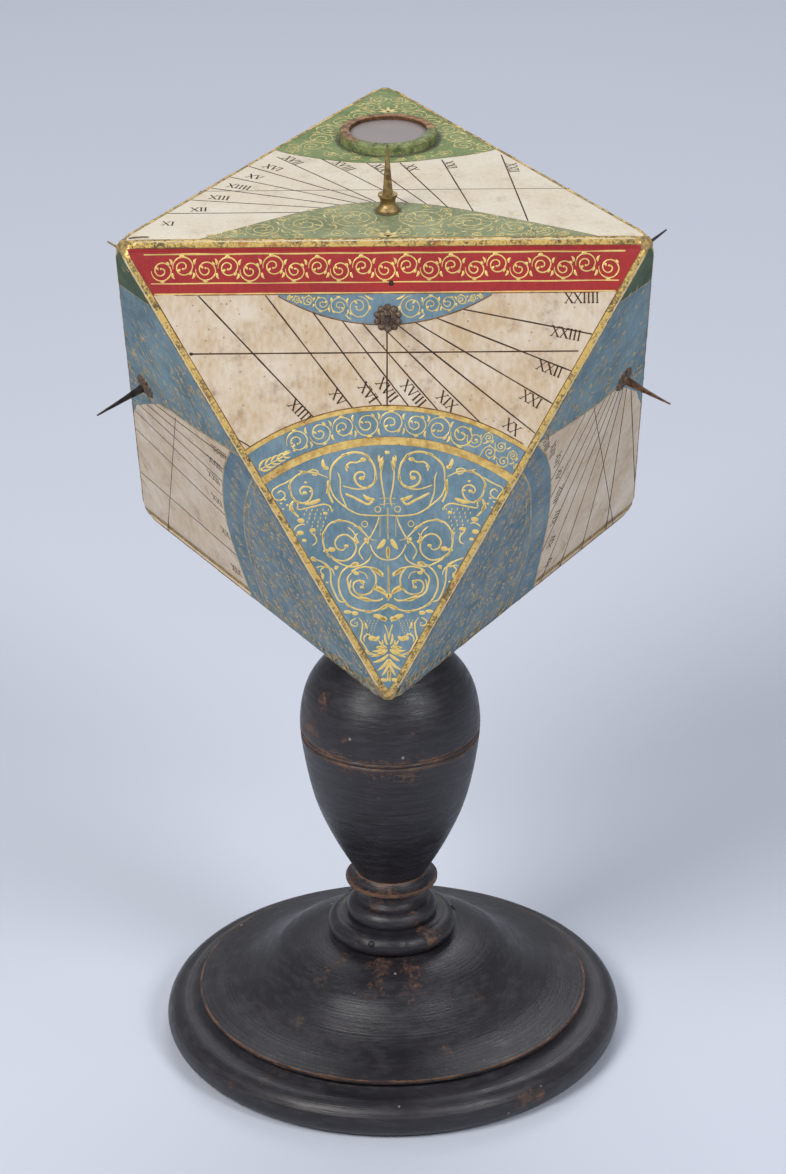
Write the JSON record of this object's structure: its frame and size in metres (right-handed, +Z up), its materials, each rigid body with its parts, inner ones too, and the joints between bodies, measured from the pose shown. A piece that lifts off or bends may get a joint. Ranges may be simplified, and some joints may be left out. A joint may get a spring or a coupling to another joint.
{
  "type": "polyhedral sundial",
  "caption": "Painted octahedral block with a dial and a gnomon on its faces and a compass on top, turning on a peg in a turned wooden stand.",
  "frame": {"origin": "centre of the foot's flat underside", "axes": "+Z up along the stand, -Y towards the front (south) face of the block, +Y north, +X east"},
  "size_m": [0.1756, 0.1832, 0.3173],
  "materials": {
    "ebonised_wood": "black-stained turned wood, waxed, worn to brown at its edges",
    "bare_wood": "planed, unfinished",
    "painted_leaf": "gesso and parchment painted in distemper with shell gold, aged",
    "dark_iron": "forged, browned",
    "brass": "turned, old and dull",
    "gilt_copper": "worn gilding, green paint on its outer side",
    "card": "aged card",
    "glass": "old, clouded glass",
    "leather": "dry",
    "steel": "blued"
  },
  "bodies": {
    "stand": {"foot_plinth": "ebonised_wood", "foot_dome": "ebonised_wood", "stem": "ebonised_wood", "stem_nails": "dark_iron", "vase": "ebonised_wood", "neck": "ebonised_wood"},
    "peg": {"swivel_peg": "bare_wood"},
    "dial_block": {"panel_top": "bare_wood", "panel_bottom": "bare_wood", "panel_front": "bare_wood", "panel_front_right": "bare_wood", "panel_back_right": "bare_wood", "panel_back": "bare_wood", "panel_back_left": "bare_wood", "panel_front_left": "bare_wood", "leaf_top": "painted_leaf", "leaf_bottom": "painted_leaf", "leaf_front": "painted_leaf", "leaf_front_right": "painted_leaf", "leaf_back_right": "painted_leaf", "leaf_back": "painted_leaf", "leaf_back_left": "painted_leaf", "leaf_front_left": "painted_leaf", "glue_blocks": "bare_wood", "socket_block": "bare_wood", "gnomon_top": "brass", "band_pin": "dark_iron", "gnomon_front": "dark_iron", "gnomon_front_right": "dark_iron", "gnomon_back_right": "dark_iron", "gnomon_back": "dark_iron", "gnomon_back_left": "dark_iron", "gnomon_front_left": "dark_iron", "rosette_front": "dark_iron", "rosette_front_right": "dark_iron", "rosette_back_right": "dark_iron", "rosette_back": "dark_iron", "rosette_back_left": "dark_iron", "rosette_front_left": "dark_iron", "compass_bowl": "brass", "compass_card": "card", "compass_pivot": "steel", "compass_glass": "glass", "glass_packing": "leather", "compass_rim": "gilt_copper"},
    "needle": {"compass_needle": "steel", "needle_cap": "brass"}
  },
  "joints": [
    {"name": "block_lift", "type": "slide", "parent": "stand", "child": "peg", "axis": [0, 0, 1], "range_m": [0, 0.036]},
    {"name": "block_turn", "type": "hinge", "parent": "peg", "child": "dial_block", "pos_m": [0, 0, 0.1656], "axis": [0, 0, 1], "continuous": true},
    {"name": "needle_turn", "type": "hinge", "parent": "dial_block", "child": "needle", "pos_m": [0.001, 0.04038, 0.29424], "axis": [0, 0, 1], "continuous": true}
  ]
}
